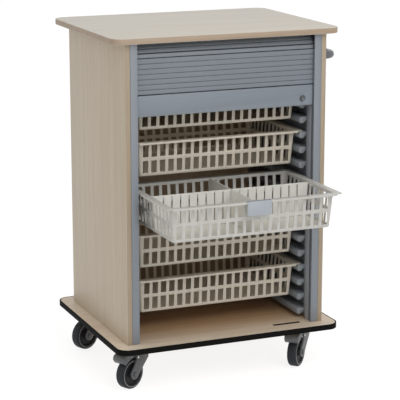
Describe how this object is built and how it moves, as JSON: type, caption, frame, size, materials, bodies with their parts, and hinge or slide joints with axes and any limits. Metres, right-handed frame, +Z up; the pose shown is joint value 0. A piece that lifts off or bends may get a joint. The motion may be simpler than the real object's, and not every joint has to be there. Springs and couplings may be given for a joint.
{
  "type": "tray storage trolley",
  "caption": "Board cabinet trolley on castors with lattice baskets on side runners behind a roller shutter, one basket pulled out.",
  "frame": {"origin": "on the floor, under the middle of the bounding box as stored, with basket 3 pulled out", "axes": "+Z up, -Y towards the front with the shutter, +X towards the side with the push handle"},
  "size_m": [0.791, 0.8228, 1.1365],
  "materials": {
    "board": "satin melamine board",
    "edging": "soft black edging",
    "track": "satin grey",
    "slat": "satin grey",
    "abs": "fine grain grey",
    "basket": "satin cream",
    "divider": "satin cream",
    "label": "clear holder with blank card",
    "handle": "satin grey",
    "steel": "zinc plated",
    "fork": "satin grey",
    "wheel": "satin grey",
    "tyre": "matt black"
  },
  "bodies": {
    "cabinet": {"base_board": "board", "base_edge_band": "edging", "top_board": "board", "side_panel_right": "board", "side_panel_left": "board", "back_panel": "board", "inner_back": "board", "track_right": "track", "track_left": "track", "guide_right": "abs", "guide_left": "abs", "runner_right": "abs", "runner_left": "abs", "rear_curtain": "slat", "push_handle": "handle", "handle_flange_front": "handle", "handle_flange_rear": "handle", "castor_head_front_left": "steel", "castor_head_front_right": "steel", "castor_head_rear_left": "steel", "castor_head_rear_right": "steel"},
    "shutter": {"shutter_rail": "track", "shutter_slat_1": "slat", "shutter_slat_2": "slat", "shutter_slat_3": "slat", "shutter_slat_4": "slat", "shutter_slat_5": "slat", "shutter_slat_6": "slat", "shutter_slat_7": "slat"},
    "lock": {"lock_cylinder": "steel"},
    "bolt": {"lock_bolt": "steel"},
    "tray_1": {"basket_1": "basket"},
    "tray_2": {"basket_2": "basket"},
    "tray_3": {"basket_3": "basket", "divider_long": "divider", "divider_cross": "divider", "label_holder": "label"},
    "tray_4": {"basket_4": "basket"},
    "tray_5": {"basket_5": "basket"},
    "swivel_front_left": {"fork_front_left": "fork", "axle_front_left": "steel", "brake_pin_front_left": "steel"},
    "roller_front_left": {"wheel_front_left": "wheel", "tyre_front_left": "tyre"},
    "pedal_front_left": {"brake_pedal_front_left": "fork"},
    "swivel_front_right": {"fork_front_right": "fork", "axle_front_right": "steel", "brake_pin_front_right": "steel"},
    "roller_front_right": {"wheel_front_right": "wheel", "tyre_front_right": "tyre"},
    "pedal_front_right": {"brake_pedal_front_right": "fork"},
    "swivel_rear_left": {"fork_rear_left": "fork", "axle_rear_left": "steel"},
    "roller_rear_left": {"wheel_rear_left": "wheel", "tyre_rear_left": "tyre"},
    "swivel_rear_right": {"fork_rear_right": "fork", "axle_rear_right": "steel"},
    "roller_rear_right": {"wheel_rear_right": "wheel", "tyre_rear_right": "tyre"}
  },
  "joints": [
    {"name": "shutter_slide", "type": "slide", "parent": "cabinet", "child": "shutter", "axis": [0, 0, 1], "range_m": [-0.235, 0]},
    {"name": "lock_turn", "type": "hinge", "parent": "shutter", "child": "lock", "pos_m": [0.2595, -0.177, 0.9089], "axis": [0, 1, 0], "range_deg": [0, 90]},
    {"name": "bolt_slide", "type": "slide", "parent": "shutter", "child": "bolt", "axis": [0, 0, -1], "range_m": [0, 0.012]},
    {"name": "basket_1_slide", "type": "slide", "parent": "cabinet", "child": "tray_1", "axis": [0, -1, 0], "range_m": [0, 0.028]},
    {"name": "basket_2_slide", "type": "slide", "parent": "cabinet", "child": "tray_2", "axis": [0, -1, 0], "range_m": [0, 0.32]},
    {"name": "basket_3_slide", "type": "slide", "parent": "cabinet", "child": "tray_3", "axis": [0, -1, 0], "range_m": [-0.284, 0.036]},
    {"name": "basket_4_slide", "type": "slide", "parent": "cabinet", "child": "tray_4", "axis": [0, -1, 0], "range_m": [0, 0.32]},
    {"name": "basket_5_slide", "type": "slide", "parent": "cabinet", "child": "tray_5", "axis": [0, -1, 0], "range_m": [0, 0.32]},
    {"name": "swivel_front_left_turn", "type": "hinge", "parent": "cabinet", "child": "swivel_front_left", "pos_m": [-0.2985, -0.131, 0.12], "axis": [0, 0, 1], "continuous": true},
    {"name": "roller_front_left_spin", "type": "hinge", "parent": "swivel_front_left", "child": "roller_front_left", "pos_m": [-0.33236, -0.14825, 0.05], "axis": [0.454, -0.891, 0], "continuous": true},
    {"name": "pedal_front_left_press", "type": "hinge", "parent": "swivel_front_left", "child": "pedal_front_left", "pos_m": [-0.3181, -0.14099, 0.1044], "axis": [0.454, -0.891, 0], "range_deg": [0, 6]},
    {"name": "swivel_front_right_turn", "type": "hinge", "parent": "cabinet", "child": "swivel_front_right", "pos_m": [0.2855, -0.131, 0.12], "axis": [0, 0, 1], "continuous": true},
    {"name": "roller_front_right_spin", "type": "hinge", "parent": "swivel_front_right", "child": "roller_front_right", "pos_m": [0.25817, -0.1574, 0.05], "axis": [0.6947, -0.7193, 0], "continuous": true},
    {"name": "pedal_front_right_press", "type": "hinge", "parent": "swivel_front_right", "child": "pedal_front_right", "pos_m": [0.26967, -0.14628, 0.1044], "axis": [0.6947, -0.7193, 0], "range_deg": [0, 6]},
    {"name": "swivel_rear_left_turn", "type": "hinge", "parent": "cabinet", "child": "swivel_rear_left", "pos_m": [-0.2985, 0.306, 0.12], "axis": [0, 0, 1], "continuous": true},
    {"name": "roller_rear_left_spin", "type": "hinge", "parent": "swivel_rear_left", "child": "roller_rear_left", "pos_m": [-0.33321, 0.29054, 0.05], "axis": [0.4067, -0.9135, 0], "continuous": true},
    {"name": "swivel_rear_right_turn", "type": "hinge", "parent": "cabinet", "child": "swivel_rear_right", "pos_m": [0.2855, 0.306, 0.12], "axis": [0, 0, 1], "continuous": true},
    {"name": "roller_rear_right_spin", "type": "hinge", "parent": "swivel_rear_right", "child": "roller_rear_right", "pos_m": [0.25259, 0.287, 0.05], "axis": [0.5, -0.866, 0], "continuous": true}
  ],
  "couplings": [
    {"joint": "lock_turn", "follows": "bolt_slide", "rad_per_m": 130.9}
  ]
}
